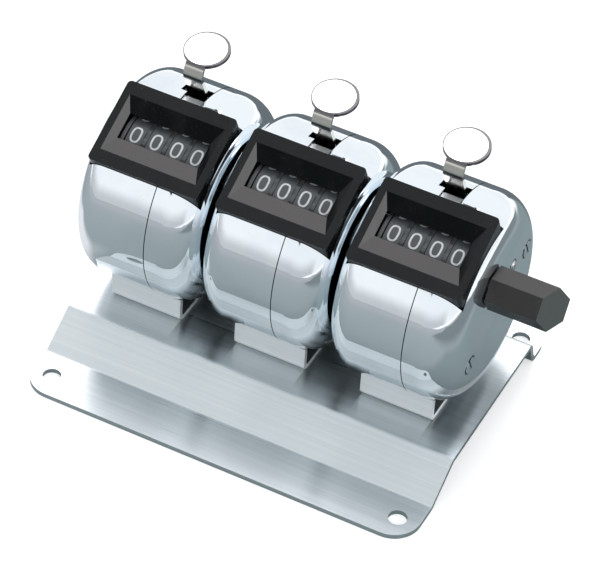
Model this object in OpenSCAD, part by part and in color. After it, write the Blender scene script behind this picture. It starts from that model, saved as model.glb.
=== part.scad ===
// Triple tally counter: three drum-shaped hand counters on one folded sheet base, with one reset shaft.
// Sizes are millimetres. The origin is the centre of the four base holes, on the underside of the base.
// +X points to the reset knob, +Y to the rear and +Z up.

/* [Counters] */
// Gap between two counters
drum_gap = 0.8; // [0.5:0.1:6]
// Distance of the middle counter from the middle of the base, along the row
row_shift = -1.1; // [-2:0.1:2]
// Distance of the drum axis behind the middle of the base holes
drum_y = 7; // [5:0.5:9]
// Angle between the window's face and level
tilt = 26; // [22:1:30]

/* [Drum case] */
// Radius of the drum
drum_r = 24; // [23.6:0.1:26]
// Half of the drum's length
drum_half = 15.1; // [14.8:0.1:15.2]
// Wall of the case
wall = 0.9; // [0.7:0.1:1]
// Rounding of the case shell's closed end
shell_round = 6; // [4:0.5:7]
// Rounding of the side cover's closed end
cover_round = 8.4; // [6:0.2:9]
// Place of the seam between the case shell and the side cover, from the middle of the drum
seam_x = 3.6; // [3:0.1:4.5]
// Width of the seam line
seam_gap = 0.12; // [0.05:0.01:0.2]
// Right end of the relief slit along the bezel's upper edge
slit_right = 8.5; // [7:0.1:10]
// Width of the relief slit
slit_h = 0.6; // [0.4:0.05:0.8]
// Length of the lip that centres the side cover
lip_len = 1.6; // [1:0.1:2.5]
// Thickness of the lip
lip_t = 0.6; // [0.4:0.1:0.8]
// Distance from the case's inside to the axis of a case post
post_in = 8.5; // [8:0.1:9]
// Radius of a case post
post_r = 2.2; // [2:0.1:2.4]
// Radius of a side cover's screw
cover_screw_r = 0.95; // [0.8:0.05:1]
// Length of a side cover's screw, without its head
cover_screw_len = 7; // [6:0.5:9]
// Radius of a side cover screw's head
cover_head_r = 1.9; // [1.7:0.05:2]
// Height of a side cover screw's head
cover_head_h = 0.45; // [0.35:0.05:0.6]
// Depth of the seats in which the heads of the side cover's screws lie
cover_head_seat = 0.3; // [0.2:0.05:0.4]
// Width of the slot in a screw's head
driver_slot = 0.5; // [0.4:0.05:0.6]

/* [Window bezel] */
// Width of the bezel
bezel_w = 26.8; // [26:0.1:27.4]
// Height of the bezel
bezel_h = 20.3; // [19.6:0.1:20.6]
// Height of the bezel's face above the drum at its upper and lower edges
bezel_proud = 1.1; // [0.9:0.05:1.6]
// Depth of the bezel's skirt
bezel_depth = 5.2; // [4.6:0.1:5.6]
// Wall of the bezel's skirt
bezel_wall = 0.8; // [0.6:0.1:1]
// Thickness of the bezel's face
bezel_roof = 2; // [1.8:0.05:2.1]
// Corner radius of the bezel
bezel_corner = 1; // [0.5:0.1:2]
// Width of the sloped recess at the face
funnel_w = 23.3; // [22:0.1:24]
// Height of the sloped recess at the face
funnel_h = 14.1; // [12:0.1:15]
// Depth of the sloped recess
funnel_depth = 1.5; // [1.2:0.1:1.6]
// Height of the window
window_h = 6.3; // [5.5:0.1:7]
// Distance of the window's centre above the bezel's centre
window_v = 0.35; // [0:0.05:0.6]
// Distance of the window's centre to the left of the bezel's centre
window_x = 0.2; // [0:0.05:0.4]

/* [Number wheels] */
// Radius of a number wheel
wheel_r = 9.4; // [9:0.1:9.5]
// Room in the drum that the number wheels leave to the plates, the lever arm and the ratchet
works_room = 10.4; // [10.2:0.1:10.8]
// Gap between two number wheels
wheel_gap = 0.2; // [0.2:0.01:0.35]
// Gap between the number wheels and the inside of the bezel's face
wheel_drop = 0.4; // [0.3:0.05:0.6]
// Distance of the middle of the four wheels from the middle of the drum
wheel_shift = 1.1; // [0.9:0.05:1.2]
// Distance of the wheels' axis below the bezel's centre line
wheel_v = 0.3; // [0:0.05:0.6]
// Width of the toothed land on each wheel
land_w = 0.98; // [0.9:0.02:1.1]
// Step from the wheel's rim down to its toothed land
land_step = 0.1; // [0.1:0.05:0.4]
// Depth of the teeth on the land
tooth_depth = 0.2; // [0.2:0.05:0.5]
// Thickness of a wheel's rim
rim_t = 1.6; // [1.4:0.1:2]
// Thickness of a wheel's web
web_t = 1; // [0.8:0.1:1.4]
// Radius of a wheel's hub
hub_r = 3; // [2.6:0.1:3.6]

/* [Carry and drive] */
// Radius of a carry pinion
pinion_r = 2; // [1.8:0.1:2.2]
// Width of a carry pinion
pinion_w = 0.7; // [0.5:0.05:0.75]
// Radius of the pinion shaft
pinion_shaft_r = 0.8; // [0.6:0.05:0.9]
// Direction of the pinion shaft from the wheels' axis, below level
pinion_angle = 65; // [62:1:70]
// Radius of the ratchet on the units wheel
ratchet_r = 4.8; // [4.4:0.1:5.2]
// Width of the ratchet
ratchet_w = 1.1; // [1:0.05:1.2]
// Thickness of the drive pawl's spring leaf
pawl_t = 0.5; // [0.3:0.05:0.6]
// Width of the drive pawl
pawl_w = 0.6; // [0.4:0.05:0.65]
// Thickness of the detent comb
comb_t = 0.35; // [0.25:0.05:0.5]
// Distance from the case post to the comb's knee
comb_room = 2.45; // [2.2:0.05:2.6]
// Distance of the comb's knee below the wheels' axis
comb_drop = 7.75; // [7.4:0.05:8]
// Width of a finger of the detent comb
finger_w = 2.4; // [1.5:0.1:3]

/* [Chassis] */
// Thickness of the chassis sheet
chassis_t = 0.8; // [0.6:0.1:0.9]
// Gap between the chassis plates and the bezel's skirt
chassis_gap = 2.65; // [2.2:0.05:3]
// Gap between the carry pinions and the chassis web
floor_gap = 3.8; // [3:0.1:5]
// Length of the chassis tab that closes the notch behind the bezel
tab_len = 1.8; // [1.2:0.1:2]
// Depth of the tab's face below the drum's surface
tab_drop = 0.5; // [0.4:0.05:0.8]
// Length of the lower step behind the tab's face
tab_step = 0.7; // [0.4:0.1:0.9]
// Radius of the ears round the case posts
ear_r = 2.8; // [2.7:0.1:3.2]
// Place of the chassis rivet behind the drum axis
rivet_v = 8.3; // [8:0.1:8.6]
// Height of the chassis rivet above the drum axis
rivet_w = 4; // [3.5:0.1:4.5]
// Radius of the chassis rivet
rivet_r = 0.9; // [0.7:0.05:1]

/* [Thumb lever] */
// Width of the lever's strip
lever_w = 4.5; // [4.2:0.1:4.7]
// Thickness of the lever's sheet
lever_t = 0.85; // [0.7:0.05:0.95]
// Distance of the strip's middle from the middle of the drum
lever_x = 0.7; // [0.5:0.1:0.8]
// Distance of the strip behind the bezel
lever_gap = 4.45; // [4.2:0.05:4.6]
// Height of the lower bend above the drum
lever_rise = 6.95; // [6:0.05:8]
// Step back from the lower bend to the upper bend
lever_jog = 1.9; // [1.6:0.1:2.4]
// Radius of the lever's two bends, at the middle of the sheet
lever_bend_r = 1.5; // [0.8:0.1:1.8]
// Height of the bridge that joins the lever's strip to its arm
bridge_h = 3.5; // [3:0.1:4]
// Distance from the chassis to the lever's arm
arm_gap = 2.2; // [1.8:0.1:2.3]
// Width of the lever's arm
arm_w = 2.4; // [2:0.1:2.8]
// Radius of the thumb pad
pad_r = 5.15; // [4.8:0.05:5.8]
// Distance of the thumb pad's centre behind the upper bend
pad_reach = 5.1; // [4.6:0.1:5.3]
// Droop of the thumb pad towards the rear
pad_droop = 17; // [4:1:20]
// Shift of the thumb pad to the right of the strip
pad_shift = 0.15; // [0:0.05:0.6]
// Distance from the case's inside to the axis of the lever pin
pivot_in = 4; // [3.9:0.1:4.4]
// Direction of the lever pin from the drum axis, in front of the window and above level
pivot_angle = 49; // [47:1:51]
// Radius of the lever pin
pin_r = 0.95; // [0.8:0.05:1]
// Space in the slot in front of the strip
slot_lead = 0.7; // [0.6:0.1:1]
// Space in the slot behind the strip
slot_lag = 1.1; // [1.1:0.1:2]
// Space in the slot to the left of the strip
slot_side = 1.4; // [0.8:0.1:1.8]
// Distance of the notch's left edge to the right of the strip's left edge
notch_in = 0.15; // [0:0.05:0.5]

/* [Reset] */
// Radius of the reset shaft
shaft_r = 1.5; // [1.2:0.1:1.8]
// Corner radius of the hexagonal knob
knob_r = 5; // [4.6:0.1:6]
// Length of the knob along the shaft
knob_len = 13.6; // [12.6:0.1:16]
// Angle of the knob's end face off square
knob_slant = 22; // [0:1:24]
// Turn of the knob on its shaft
knob_turn = 28.8; // [0:0.1:60]
// Depth of the knob's bore
knob_bore = 9; // [7:0.5:10]
// Depth of the flat on the shaft's end
flat_depth = 0.35; // [0.2:0.05:0.5]
// Distance of the knob's grub screw from the case
grub_x = 4; // [3:0.1:5]
// Radius of the knob's grub screw
grub_r = 0.9; // [0.7:0.05:1]

/* [Base] */
// Width of the base sheet
base_w = 95; // [94:0.5:110]
// Depth of the base sheet
base_d = 75; // [73:0.5:90]
// Thickness of the base sheet
base_t = 1.2; // [1:0.1:1.5]
// Rise from the flanges to the deck
deck_rise = 6; // [5:0.1:8]
// Place of the foot of the front ramp, in front of the middle of the base holes
ramp_foot = 25.4; // [25:0.1:26]
// Place of the deck's front edge, in front of the middle of the base holes
deck_front = 15.6; // [15.2:0.1:16]
// Place of the deck's rear edge, behind the middle of the base holes
deck_rear = 25.3; // [25.2:0.1:25.8]
// Place of the foot of the rear wall, behind the middle of the base holes
wall_foot = 27.4; // [27.2:0.1:28]
// Corner radius of the base sheet
base_corner = 6.5; // [4:0.5:7]
// Distance of a base hole from the sheet's side edge
hole_side = 5; // [4.5:0.1:8]
// Distance of a base hole from the sheet's front or rear edge
hole_end = 5.7; // [4.5:0.1:6.2]
// Radius of a base hole
hole_r = 2.1; // [1.6:0.1:2.4]

/* [Saddles] */
// Width of a saddle
saddle_w = 17.3; // [14:0.1:22]
// Half of the saddle's depth
saddle_half = 15.4; // [15:0.1:16]
// Thickness of the saddle's sheet
saddle_t = 1.2; // [1:0.1:1.3]
// Height of the saddle's walls above the deck
saddle_h = 6.6; // [6:0.1:7]
// Place of the saddle screw, from the middle of the drum
screw_x = -3; // [-5:0.5:-1]
// Height of the saddle screw's head
screw_head = 1.1; // [0.9:0.05:1.6]
// Radius of the saddle screw's thread
screw_r = 1.45; // [1.2:0.05:1.6]
// Length of the saddle screw inside the case
screw_bite = 2.6; // [2:0.1:3]
// Wall of the case's boss round the saddle screw
boss_wall = 1.8; // [1.4:0.1:2.2]

/* [Clearances] */
// Clearance round shafts and pins that turn
run = 0.05; // [0.03:0.01:0.08]
// Clearance between parts that are pushed together
fit = 0.1; // [0.05:0.01:0.15]
// Clearance between parts that move past each other
pass = 0.3; // [0.3:0.01:0.35]

/* [Hidden] */
$fn = 64;
SIDES = ["left", "middle", "right"];
// Colours
CHROME = "#c8d0d5";
STEEL = "#b9c1c6";
BLACK = "#2b2d2f";
WHEEL = "#5f6266";
BRASS = "#b9a35c";
// Row of counters and holes of the base
pitch = 2 * drum_half + drum_gap;
hole_dx = base_w - 2 * hole_side;
hole_dy = base_d - 2 * hole_end;
// Heights
deck_z = base_t + deck_rise;
drum_z = deck_z + saddle_t + run + drum_r;
// Number wheels, in the tilted frame of a counter
wheel_pitch = (2 * drum_half - works_room) / 4;
wheel_w = wheel_pitch - wheel_gap;
window_w = 4 * wheel_pitch;
bezel_top = sqrt(pow(drum_r, 2) - pow(bezel_h / 2, 2)) + bezel_proud;
axis_w = bezel_top - bezel_roof - wheel_drop - wheel_r;
stack_left = wheel_shift - 1.5 * wheel_pitch - wheel_w / 2;
stack_right = wheel_shift + 1.5 * wheel_pitch + wheel_w / 2;
land_r = wheel_r - land_step;
wheel_bore_r = shaft_r + run;
// Chassis plates, by their inner faces
left_plate_x = stack_left - 2 * wheel_gap;
right_plate_x = stack_right + ratchet_w + pass;
plate_front = -wheel_r + 2 * wheel_drop;
plate_rear = bezel_h / 2 - fit;
chassis_top = bezel_top - bezel_depth - chassis_gap;
// Case posts, screw boss and lip
post_v = drum_r - wall - post_in;
boss_h = screw_bite + boss_wall;
lip_r = drum_r - wall - fit;
// Tab of the chassis in the notch, by the radii of its faces from the drum axis
tab_v = bezel_h / 2 + 2 * fit;
tab_r = drum_r - tab_drop;
tab_low_r = lip_r - 2 * fit;
// Pinion shaft
pinion_reach = land_r + pass + pinion_r;
pinion_v = pinion_reach * cos(pinion_angle) - wheel_v;
pinion_at_w = axis_w - pinion_reach * sin(pinion_angle);
chassis_floor = pinion_at_w - pinion_r - floor_gap - chassis_t;
// Lever
lever_v = bezel_h / 2 + lever_gap;
lever_bend = sqrt(pow(drum_r, 2) - pow(lever_v, 2)) + lever_rise;
arm_x = left_plate_x - chassis_t - arm_gap;
pivot_v = (drum_r - wall - pivot_in) * cos(pivot_angle);
pivot_w = (drum_r - wall - pivot_in) * sin(pivot_angle);
bridge_low = axis_w - bridge_h;
bridge_right = stack_right + ratchet_w;
upper_bend = [lever_v + lever_jog, lever_bend + lever_jog];
slot_front = lever_v - lever_t / 2 - slot_lead;
slot_rear = lever_v + lever_t / 2 + slot_lag;
slot_left = lever_x - lever_w / 2 - slot_side;
notch_left = lever_x - lever_w / 2 + notch_in;
// Reset shaft and knob, in the frame of the whole part
shaft_y = drum_y - wheel_v * cos(tilt) - axis_w * sin(tilt);
shaft_z = drum_z - wheel_v * sin(tilt) + axis_w * cos(tilt);
left_end = row_shift - pitch - drum_half;
right_end = row_shift + pitch + drum_half;
knob_x = right_end + pass;

// Unit vector along v
function unit(v) = v / norm(v);

// Points of the arc that rounds the corner b between a and c
function corner(a, b, c, r, n) = let(
    u = unit(a - b),
    v = unit(c - b),
    half = acos(u * v) / 2,
    centre = b + unit(u + v) * r / sin(half),
    start = b + u * r / tan(half) - centre,
    stop = b + v * r / tan(half) - centre,
    from = atan2(start.y, start.x),
    turn = (atan2(stop.y, stop.x) - from + 540) % 360 - 180
) [for (k = [0 : n]) centre + r * [cos(from + turn * k / n), sin(from + turn * k / n)]];

// A path with its corners bent to radius r
function bent(p, r, n = 10) = [
    for (i = [0 : len(p) - 1])
        each (i == 0 || i == len(p) - 1) ? [p[i]] : corner(p[i - 1], p[i], p[i + 1], r, n)
];

// Unit normal of a path at its point i
function side(p, i) = let(
    d = unit(p[min(i + 1, len(p) - 1)] - p[max(i - 1, 0)])
) [-d.y, d.x];

// Outline of a sheet of thickness t whose middle follows a path
function ribbon(p, t) = concat(
    [for (i = [0 : len(p) - 1]) p[i] + side(p, i) * t / 2],
    [for (i = [len(p) - 1 : -1 : 0]) p[i] - side(p, i) * t / 2]
);

// Outline of a toothed wheel with n teeth between radii low and high
function toothed(n, low, high) = [
    for (i = [0 : n - 1], q = [[0, low], [0.2, high], [0.5, high], [0.7, low]])
        q[1] * [cos(360 * (i + q[0]) / n), sin(360 * (i + q[0]) / n)]
];

// Outline of a ratchet with n saw teeth between radii low and high
function saw(n, low, high) = [
    for (i = [0 : n - 1], r = [high, low])
        r * [cos(360 * i / n), sin(360 * i / n)]
];

// Stretches a drawing of the upright section from x = a to x = b
module along_x(a, b) {
    translate([a, 0, 0])
        rotate([90, 0, 90])
            linear_extrude(b - a)
                children();
}

// Turns a solid that stands along +Z to lie along +X, from the point (x, v, w)
module lying(x, v, w) {
    translate([x, v, w])
        rotate([0, 90, 0])
            children();
}

// Places a part of counter i, whose own origin is the middle of its drum axis
module counter(i) {
    translate([row_shift + pitch * (i - 1), drum_y, drum_z])
        children();
}

// The same, in the tilted frame: y runs up along the window and z out of it
module tilted(i) {
    counter(i)
        rotate([tilt, 0, 0])
            children();
}

// Rectangle with round corners, centred
module round_rect(w, h, r) {
    square([w - 2 * r, h], center = true);
    square([w, h - 2 * r], center = true);
    for (x = [-1, 1], y = [-1, 1])
        translate([x * (w / 2 - r), y * (h / 2 - r)])
            circle(r);
}

// Half section of a drum that is closed and rounded at y = 0
module drum_half_section(r, round, depth) {
    square([r - round, depth]);
    translate([0, round])
        square([r, depth - round]);
    translate([r - round, round])
        circle(round, $fn = 96);
}

// Hollow drum, closed at z = 0 and open at z = depth
module cup(round, depth) {
    rotate_extrude($fn = 180)
        difference() {
            intersection() {
                drum_half_section(drum_r, round, depth);
                square([drum_r + 1, depth]);
            }
            translate([0, wall])
                drum_half_section(drum_r - wall, round - wall, depth);
        }
}

// What both halves of the case leave free: the bezel, the lever's slot and the reset shaft
module case_cuts() {
    rotate([tilt, 0, 0]) {
        translate([-bezel_w / 2 - fit, -bezel_h / 2 - fit, chassis_top])
            cube([bezel_w + 2 * fit, bezel_h + 2 * fit, drum_r]);
        translate([notch_left, 0, chassis_top])
            cube([seam_x + seam_gap / 2 - notch_left, slot_front + fit, drum_r]);
        translate([slot_left, slot_front, chassis_top])
            cube([seam_x + seam_gap / 2 - slot_left, slot_rear - slot_front, drum_r]);
        lying(-drum_half - 1, -wheel_v, axis_w)
            cylinder(r = shaft_r + fit, h = 2 * drum_half + 2);
    }
}

module case_shell(i) {
    color(CHROME)
        counter(i)
            difference() {
                union() {
                    lying(-drum_half, 0, 0)
                        cup(shell_round, drum_half + seam_x - seam_gap / 2);
                    lying(seam_x - lip_len - seam_gap / 2, 0, 0)
                        difference() {
                            union() {
                                cylinder(r = drum_r - wall / 2, h = lip_len, $fn = 180);
                                cylinder(r = lip_r, h = 2 * lip_len, $fn = 180);
                            }
                            translate([0, 0, -1])
                                cylinder(r = lip_r - lip_t, h = 2 * lip_len + 2, $fn = 180);
                        }
                    rotate([tilt, 0, 0])
                        for (v = [-post_v, post_v])
                            lying(-drum_half + wall / 2, v, 0)
                                cylinder(r = post_r, h = 2 * drum_half - wall / 2 - wall - 2 * fit);
                    translate([screw_x, 0, -drum_r + wall / 2])
                        cylinder(r = screw_r + boss_wall, h = boss_h);
                }
                case_cuts();
                rotate([tilt, 0, 0])
                    for (v = [-post_v, post_v])
                        lying(drum_half - 1.4 * cover_screw_len, v, 0)
                            cylinder(r = cover_screw_r + run, h = 1.4 * cover_screw_len);
                translate([screw_x, 0, -drum_r - screw_bite])
                    cylinder(r = screw_r + run, h = 2 * screw_bite + pass);
            }
}

module side_cover(i) {
    color(CHROME)
        counter(i)
            difference() {
                mirror([1, 0, 0])
                    lying(-drum_half, 0, 0)
                        cup(cover_round, drum_half - seam_x - seam_gap / 2);
                case_cuts();
                rotate([tilt, 0, 0]) {
                    for (v = [-post_v, post_v]) {
                        lying(drum_half - 2 * wall, v, 0)
                            cylinder(r = cover_screw_r + run + fit, h = 4 * wall);
                        lying(drum_half - cover_head_seat, v, 0)
                            cylinder(r = cover_head_r + fit, h = wall);
                    }
                    lying(drum_half - 2 * wall, rivet_v, rivet_w)
                        cylinder(r = rivet_r + run, h = 4 * wall);
                    translate([0, bezel_h / 2, chassis_top])
                        cube([slit_right, slit_h, drum_r]);
                }
            }
}

module bezel(i) {
    color(BLACK)
        tilted(i)
            translate([0, 0, bezel_top])
                difference() {
                    translate([0, 0, -bezel_depth])
                        linear_extrude(bezel_depth)
                            round_rect(bezel_w, bezel_h, bezel_corner);
                    translate([0, 0, -bezel_roof - bezel_depth])
                        linear_extrude(bezel_depth)
                            round_rect(bezel_w - 2 * bezel_wall, bezel_h - 2 * bezel_wall, bezel_corner / 2);
                    hull() {
                        translate([0, 0, 0.1])
                            cube([funnel_w, funnel_h, 0.2], center = true);
                        translate([-window_x, window_v, -funnel_depth + 0.01])
                            cube([window_w, window_h, 0.02], center = true);
                    }
                    translate([-window_x, window_v, 0])
                        cube([window_w, window_h, 2 * bezel_depth], center = true);
                }
}

// Outline of a chassis side plate, with ears round the case posts
module plate_outline() {
    difference() {
        union() {
            translate([plate_front, chassis_floor])
                square([plate_rear - plate_front, chassis_top - chassis_floor]);
            translate([-post_v, -ear_r])
                square([2 * post_v, 2 * ear_r]);
            for (v = [-post_v, post_v])
                translate([v, 0])
                    circle(ear_r);
        }
        for (v = [-post_v, post_v])
            translate([v, 0])
                circle(post_r + fit);
        translate([-wheel_v, axis_w])
            circle(shaft_r + fit);
        translate([pinion_v, pinion_at_w])
            circle(pinion_shaft_r);
    }
}

// Outline of the left plate, with the column of the lever pin and a disc beside the wheels
module left_plate_outline() {
    difference() {
        union() {
            plate_outline();
            translate([-pivot_v - ear_r / 2, post_r + 2 * fit])
                square([ear_r, pivot_w - post_r - 2 * fit]);
            translate([-pivot_v, pivot_w])
                circle(2 * pin_r);
            translate([plate_rear - chassis_t, post_r + 2 * fit])
                square([tab_v + tab_len - plate_rear + chassis_t, chassis_top - post_r - 2 * fit]);
            tab_section(tab_low_r, tab_len);
            difference() {
                translate([-wheel_v, axis_w])
                    circle(wheel_r - fit, $fn = 120);
                translate([-wheel_v, axis_w])
                    circle(shaft_r + fit);
            }
        }
        translate([-pivot_v, pivot_w])
            circle(pin_r);
    }
}

// Section of the tab up to the radius r from the drum axis, over the given length
module tab_section(r, length) {
    intersection() {
        circle(r, $fn = 180);
        translate([tab_v, chassis_top])
            square([length, drum_r]);
    }
}

module chassis(i) {
    color(STEEL)
        tilted(i) {
            along_x(left_plate_x - chassis_t, left_plate_x)
                left_plate_outline();
            along_x(right_plate_x, right_plate_x + chassis_t)
                difference() {
                    plate_outline();
                    translate([rivet_v, rivet_w])
                        circle(rivet_r + run);
                }
            translate([left_plate_x - chassis_t, plate_front, chassis_floor])
                cube([right_plate_x - left_plate_x + 2 * chassis_t, plate_rear - plate_front, chassis_t]);
            along_x(left_plate_x - chassis_t, seam_x - pass)
                difference() {
                    tab_section(tab_low_r, tab_len + tab_step);
                    circle(tab_low_r - chassis_t, $fn = 180);
                }
            along_x(notch_left + fit, seam_x - pass)
                difference() {
                    tab_section(tab_r, tab_len);
                    circle(tab_low_r - chassis_t / 2, $fn = 180);
                }
        }
}

// Number wheel at place k, 0 for thousands to 3 for units, with the ratchet on the units wheel
module number_wheel(i, k) {
    color(WHEEL)
        tilted(i)
            lying(wheel_shift + (k - 1.5) * wheel_pitch - wheel_w / 2, -wheel_v, axis_w)
                difference() {
                    union() {
                        cylinder(r = wheel_r, h = wheel_w - land_w, $fn = 120);
                        linear_extrude(wheel_w)
                            polygon(toothed(20, land_r - tooth_depth, land_r));
                        if (k == 3)
                            linear_extrude(wheel_w + ratchet_w)
                                polygon(saw(10, ratchet_r - 0.9, ratchet_r));
                    }
                    for (z = [-1, (wheel_w + web_t) / 2])
                        if (k < 3 || z < 0)
                            translate([0, 0, z])
                                difference() {
                                    cylinder(r = wheel_r - rim_t, h = (wheel_w - web_t) / 2 + 1);
                                    translate([0, 0, -1])
                                        cylinder(r = hub_r, h = wheel_w + 2);
                                }
                    translate([0, 0, -1])
                        cylinder(r = wheel_bore_r, h = wheel_w + ratchet_w + 2);
                }
}

module pinion_shaft(i) {
    color(STEEL)
        tilted(i)
            lying(left_plate_x - chassis_t, pinion_v, pinion_at_w)
                cylinder(r = pinion_shaft_r, h = right_plate_x - left_plate_x + 2 * chassis_t);
}

// The three pinions that carry from each wheel to its left neighbour, on one shaft
module carry_pinions(i) {
    color(BRASS)
        tilted(i)
            for (k = [0 : 2])
                lying(
                    wheel_shift + (k - 1) * wheel_pitch - (land_w + wheel_gap + pinion_w) / 2,
                    pinion_v,
                    pinion_at_w
                )
                    linear_extrude(pinion_w)
                        difference() {
                            polygon(toothed(8, pinion_r - 0.6, pinion_r));
                            circle(pinion_shaft_r + run);
                        }
}

module thumb_lever(i) {
    arm_low = bridge_low - arm_w;
    arm_path = [
        [-pivot_v, pivot_w],
        [pivot_w - arm_low - pivot_v, arm_low],
        [lever_v - 2 * arm_w, arm_low],
        [lever_v, bridge_low + bridge_h / 2]
    ];
    strip_path = [
        [lever_v, bridge_low],
        [lever_v, lever_bend],
        upper_bend,
        upper_bend + 2 * [cos(pad_droop), -sin(pad_droop)]
    ];
    color(CHROME)
        tilted(i) {
            along_x(lever_x - lever_w / 2, lever_x + lever_w / 2)
                polygon(ribbon(bent(strip_path, lever_bend_r), lever_t));
            translate([lever_x + pad_shift, upper_bend.x, upper_bend.y])
                rotate([-pad_droop, 0, 0])
                    difference() {
                        translate([0, pad_reach, -lever_t / 2])
                            cylinder(r = pad_r, h = lever_t, $fn = 120);
                        translate([-pad_r, -pad_r, -lever_t])
                            cube([2 * pad_r, pad_r + 0.3, 2 * lever_t]);
                    }
            translate([arm_x, lever_v - lever_t / 2, bridge_low])
                cube([bridge_right - arm_x, lever_t, bridge_h]);
            along_x(arm_x, arm_x + chassis_t)
                difference() {
                    union() {
                        polygon(ribbon(bent(arm_path, arm_w / 2 + pass), arm_w));
                        translate([-pivot_v, pivot_w])
                            circle(2 * pin_r);
                    }
                    translate([-pivot_v, pivot_w])
                        circle(pin_r + run);
                }
        }
}

module lever_pin(i) {
    color(STEEL)
        tilted(i) {
            lying(arm_x - pass, -pivot_v, pivot_w)
                cylinder(r = pin_r, h = left_plate_x - arm_x + pass);
            lying(arm_x - pass - 0.5, -pivot_v, pivot_w)
                cylinder(r = pin_r + 0.5, h = 0.5);
        }
}

// Torsion spring that lifts the lever, as a closed sleeve of its wound size with one leg
module lever_spring(i) {
    spring_x = arm_x + chassis_t + pass;
    spring_len = left_plate_x - chassis_t - spring_x - fit;
    color(STEEL)
        tilted(i)
            difference() {
                union() {
                    lying(spring_x, -pivot_v, pivot_w)
                        cylinder(r = pin_r + 0.8, h = spring_len);
                    translate([spring_x + spring_len - 0.4, -pivot_v - pin_r - 0.8, pivot_w - 6])
                        cube([0.4, 0.4, 6]);
                }
                lying(spring_x - 1, -pivot_v, pivot_w)
                    cylinder(r = pin_r + run, h = spring_len + 2);
            }
}

// Leaf pawl on the lever's bridge, which turns the units wheel by one tooth a press
module drive_pawl(i) {
    tip_v = ratchet_r + 2 * pass - wheel_v + pawl_t / 2;
    pawl_path = [
        [lever_v - lever_t / 2, bridge_low + bridge_h / 2],
        [wheel_r, axis_w + pawl_t],
        [tip_v, axis_w + pawl_t / 2]
    ];
    color(BRASS)
        tilted(i)
            along_x(bridge_right - pass / 3 - pawl_w, bridge_right - pass / 3)
                polygon(ribbon(bent(pawl_path, 1), pawl_t));
}

// Spring comb that keeps each wheel on its figure
module detent_comb(i) {
    foot = chassis_floor + chassis_t + comb_t / 2;
    reach = wheel_r + pass + comb_t;
    tip = [-wheel_v - reach * cos(25), axis_w - reach * sin(25)];
    knee = [-post_v + post_r + comb_room, axis_w - comb_drop];
    base_path = [[plate_front + 6, foot], [plate_front + 0.6, foot], knee];
    finger_path = [knee - [0.02, 0.5], knee, tip];
    color(BRASS)
        tilted(i) {
            along_x(stack_left, stack_right)
                polygon(ribbon(bent(base_path, 1.2), comb_t));
            for (k = [0 : 3])
                along_x(
                    wheel_shift + (k - 1.5) * wheel_pitch - finger_w / 2,
                    wheel_shift + (k - 1.5) * wheel_pitch + finger_w / 2
                )
                    polygon(ribbon(finger_path, comb_t));
        }
}

module saddle(i) {
    half = saddle_half - saddle_t / 2;
    floor_z = deck_z - drum_z + saddle_t / 2;
    section = [[-half, floor_z + saddle_h], [-half, floor_z], [half, floor_z], [half, floor_z + saddle_h]];
    color(STEEL)
        counter(i)
            difference() {
                intersection() {
                    along_x(-saddle_w / 2, saddle_w / 2)
                        polygon(ribbon(bent(section, 1.3), saddle_t));
                    translate([-saddle_w, -2 * saddle_half, floor_z - saddle_t / 2])
                        cube([2 * saddle_w, 4 * saddle_half, saddle_h]);
                }
                lying(-saddle_w, 0, 0)
                    cylinder(r = drum_r + run / 2, h = 2 * saddle_w, $fn = 180);
                translate([screw_x, 0, floor_z - saddle_t])
                    cylinder(r = screw_r + fit, h = 2 * saddle_t);
            }
}

module saddle_screws() {
    color(STEEL)
        for (i = [0 : 2])
            counter(i)
                translate([screw_x, 0, deck_z - base_t - drum_z])
                    union() {
                        translate([0, 0, -screw_head])
                            difference() {
                                cylinder(r = 1.8 * screw_r, h = screw_head);
                                translate([-3 * screw_r, -driver_slot / 2, -screw_head / 2])
                                    cube([6 * screw_r, driver_slot, screw_head]);
                            }
                        cylinder(r = screw_r, h = base_t + saddle_t + screw_bite);
                    }
}

// The two screws in each side cover
module cover_screws() {
    color(STEEL)
        for (i = [0 : 2])
            tilted(i)
                for (v = [-post_v, post_v]) {
                    lying(drum_half - cover_head_seat - cover_screw_len, v, 0)
                        cylinder(r = cover_screw_r, h = cover_screw_len);
                    lying(drum_half - cover_head_seat, v, 0)
                        difference() {
                            cylinder(r = cover_head_r, h = cover_head_h);
                            translate([-2 * cover_head_r, -driver_slot / 2, cover_head_h / 2])
                                cube([4 * cover_head_r, driver_slot, cover_head_h]);
                        }
                }
}

module cover_rivets() {
    color(STEEL)
        for (i = [0 : 2])
            tilted(i) {
                lying(right_plate_x, rivet_v, rivet_w)
                    cylinder(r = rivet_r, h = drum_half - right_plate_x);
                lying(drum_half, rivet_v, rivet_w)
                    cylinder(r1 = 1.5 * rivet_r, r2 = rivet_r, h = 0.4);
            }
}

// Washers on the reset shaft in the gaps between the counters
module spacer_washers() {
    color(STEEL)
        for (i = [0, 1])
            tilted(i)
                lying(drum_half + fit, -wheel_v, axis_w)
                    difference() {
                        cylinder(r = 2.2 * shaft_r, h = drum_gap - 2 * fit);
                        translate([0, 0, -1])
                            cylinder(r = shaft_r + fit, h = drum_gap + 2);
                    }
}

module reset_shaft() {
    color(STEEL)
        lying(left_end, shaft_y, shaft_z)
            difference() {
                cylinder(r = shaft_r, h = knob_x + knob_bore - 0.5 - left_end);
                rotate(knob_turn + 30)
                    translate([shaft_r - flat_depth, -shaft_r, knob_x + 0.5 - left_end])
                        cube([shaft_r, 2 * shaft_r, knob_bore]);
            }
}

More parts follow.
